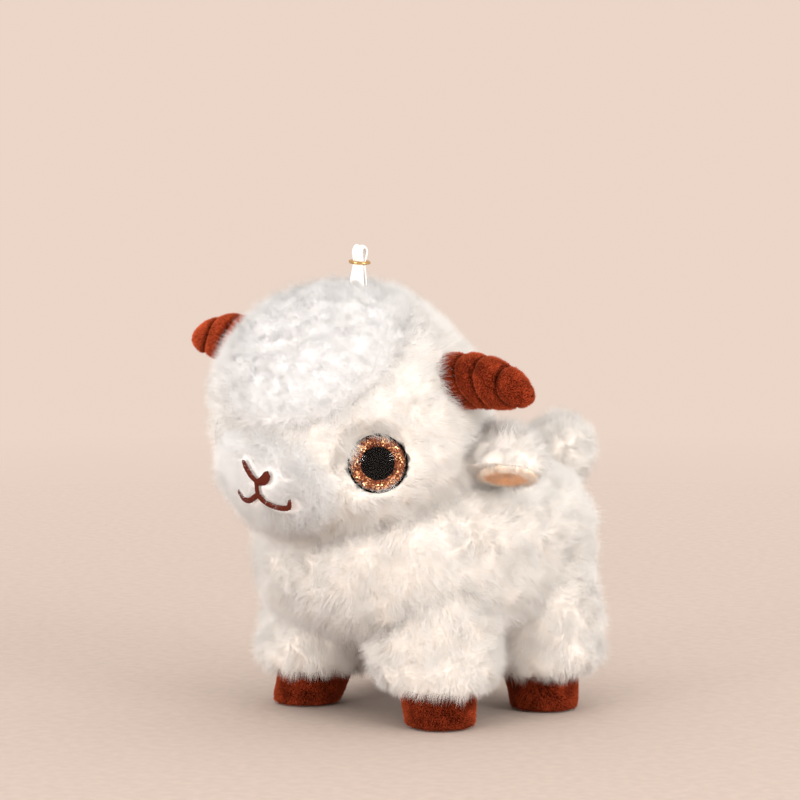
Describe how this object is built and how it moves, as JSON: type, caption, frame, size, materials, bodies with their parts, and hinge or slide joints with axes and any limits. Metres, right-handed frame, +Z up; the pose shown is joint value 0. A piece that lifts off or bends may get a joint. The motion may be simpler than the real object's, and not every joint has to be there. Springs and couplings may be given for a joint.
{
  "type": "plush sheep toy",
  "caption": "Small standing plush sheep with long cream pile, curly forelock, velour horns and hooves, glitter safety eyes, lined ears, round tail and a satin hanging loop.",
  "frame": {"origin": "middle of the bounding box's underside, on the ground under the toy", "axes": "+Z up, the toy faces -Y, its left side is +X"},
  "size_m": [0.1006, 0.1194, 0.1149],
  "materials": {
    "wool": "long-pile cream plush, clumped tips",
    "curl": "curly cool-white plush",
    "face": "short-pile white plush",
    "filling": "white polyester fibre filling",
    "velour": "reddish-brown velour with a nap",
    "lining": "peach short-pile velour",
    "thread": "dark reddish-brown embroidery thread",
    "satin": "white satin ribbon",
    "brass": "polished brass",
    "clear": "clear polished plastic",
    "glitter": "copper glitter under clear lacquer",
    "black": "black moulded plastic"
  },
  "bodies": {
    "body": {"body_cover": "wool", "body_stuffing": "filling", "leg_cover_front_left": "wool", "leg_stuffing_front_left": "filling", "hoof_cover_front_left": "velour", "leg_cover_front_right": "wool", "leg_stuffing_front_right": "filling", "hoof_cover_front_right": "velour", "leg_cover_rear_left": "wool", "leg_stuffing_rear_left": "filling", "hoof_cover_rear_left": "velour", "leg_cover_rear_right": "wool", "leg_stuffing_rear_right": "filling", "hoof_cover_rear_right": "velour"},
    "head": {"head_cover": "wool", "face_panel": "face", "forelock": "curl", "head_stuffing": "filling", "nose_embroidery": "thread", "mouth_embroidery": "thread", "eye_lens_left": "clear", "eye_iris_left": "glitter", "eye_pupil_left": "black", "eye_cup_left": "black", "eye_washer_left": "black", "horn_cover_left": "velour", "horn_stuffing_left": "filling", "eye_lens_right": "clear", "eye_iris_right": "glitter", "eye_pupil_right": "black", "eye_cup_right": "black", "eye_washer_right": "black", "horn_cover_right": "velour", "horn_stuffing_right": "filling"},
    "ear_left": {"ear_back_left": "wool", "ear_lining_left": "lining"},
    "ear_right": {"ear_back_right": "wool", "ear_lining_right": "lining"},
    "tail": {"tail_cover": "wool", "tail_stuffing": "filling"},
    "loop": {"hang_loop": "satin", "loop_ring": "brass"}
  },
  "joints": [
    {"name": "head_turn", "type": "hinge", "parent": "body", "child": "head", "pos_m": [0.00001, -0.02399, 0.073], "axis": [0, 0, 1], "range_deg": [-25, 4], "stiffness_Nm_per_rad": 0.05},
    {"name": "ear_left_flop", "type": "hinge", "parent": "head", "child": "ear_left", "pos_m": [0.0266, -0.01016, 0.06197], "axis": [0.1948, -0.8905, 0.4113], "range_deg": [-28.6, 12.6], "stiffness_Nm_per_rad": 0.01},
    {"name": "ear_right_flop", "type": "hinge", "parent": "head", "child": "ear_right", "pos_m": [-0.03126, -0.02015, 0.06774], "axis": [-0.1948, 0.8905, -0.4113], "range_deg": [-28.6, 12.6], "stiffness_Nm_per_rad": 0.01},
    {"name": "tail_wag", "type": "hinge", "parent": "body", "child": "tail", "pos_m": [0.00001, 0.04031, 0.05309], "axis": [0, 0, 1], "range_deg": [-18, 18], "stiffness_Nm_per_rad": 0.01},
    {"name": "hang_loop_swing", "type": "hinge", "parent": "head", "child": "loop", "pos_m": [0.0027, -0.02369, 0.10047], "axis": [0.9807, 0.1693, -0.0978], "range_deg": [-48, 48], "stiffness_Nm_per_rad": 0.002}
  ]
}
